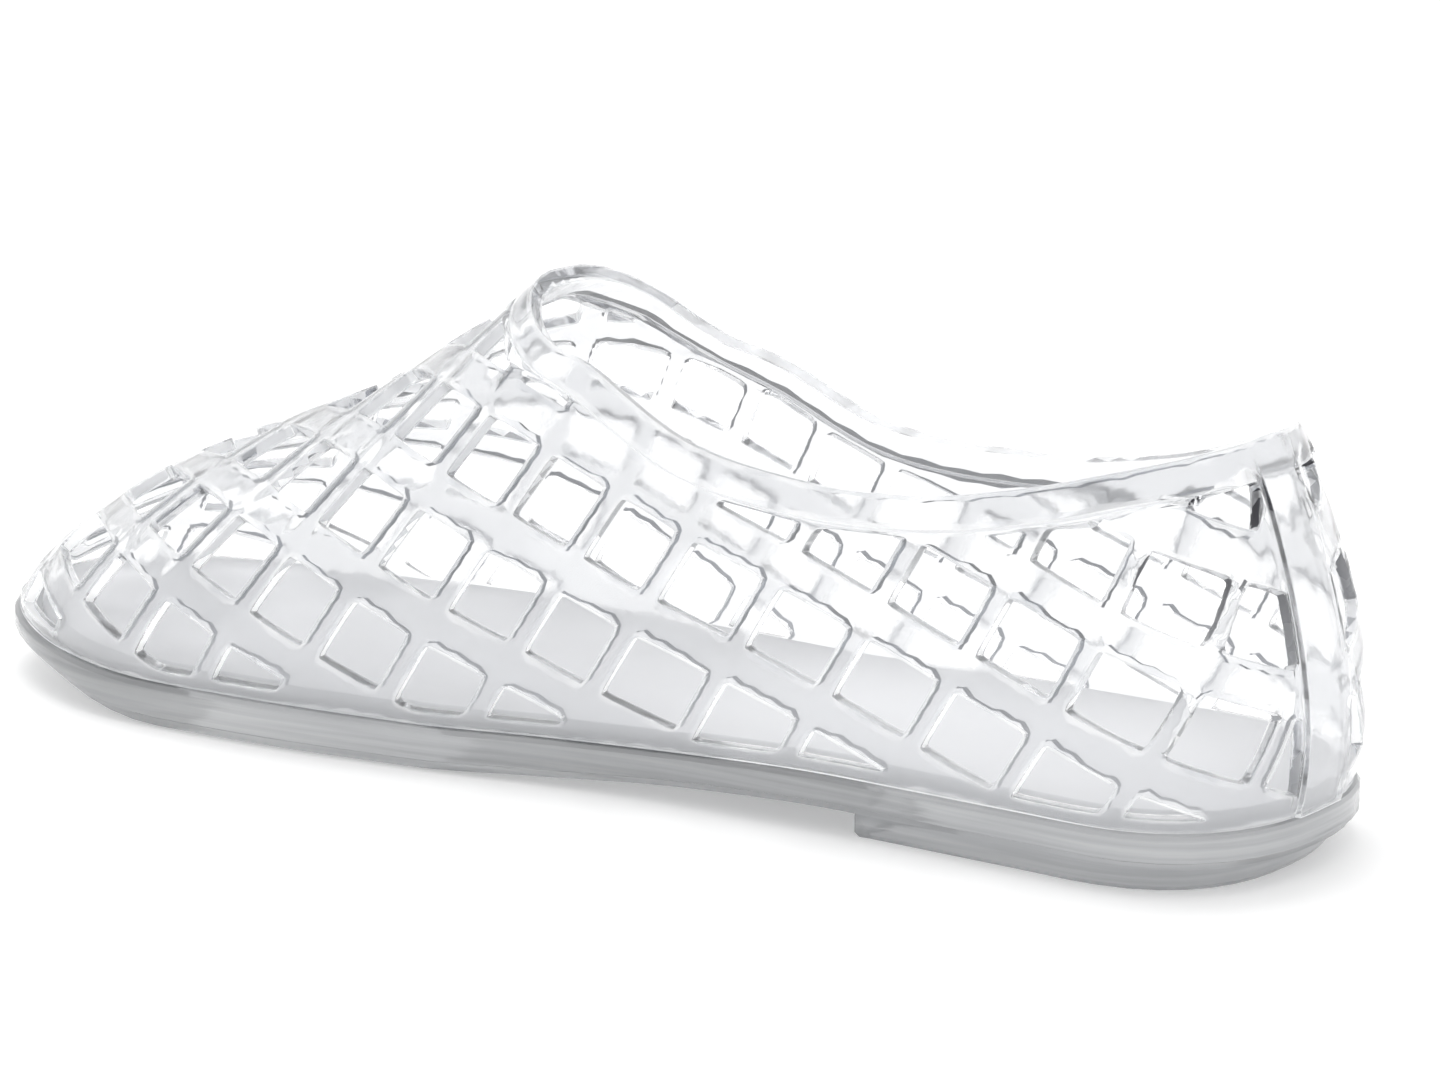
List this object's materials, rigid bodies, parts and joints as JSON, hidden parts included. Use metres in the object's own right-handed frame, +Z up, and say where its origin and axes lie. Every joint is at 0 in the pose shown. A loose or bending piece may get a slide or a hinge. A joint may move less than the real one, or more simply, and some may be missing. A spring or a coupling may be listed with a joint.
{
  "type": "jelly sandal",
  "caption": "Right-foot moulded clear jelly flat: closed toe and heel, slanted net of windows over the whole upper, raised collar band, low heel lift and stepped sole edge.",
  "frame": {"origin": "middle of the bounding box on the floor, under the sole", "axes": "+Y runs from heel to toe, +X to the outer (lateral) side of the right foot, +Z up"},
  "size_m": [0.0836, 0.2532, 0.0782],
  "materials": {
    "upper_vinyl": "clear gloss",
    "insole_vinyl": "cloudy satin",
    "outsole_vinyl": "clear gloss, grey by depth"
  },
  "bodies": {
    "root": {"upper": "upper_vinyl", "insole": "insole_vinyl", "outsole": "outsole_vinyl"}
  },
  "joints": []
}
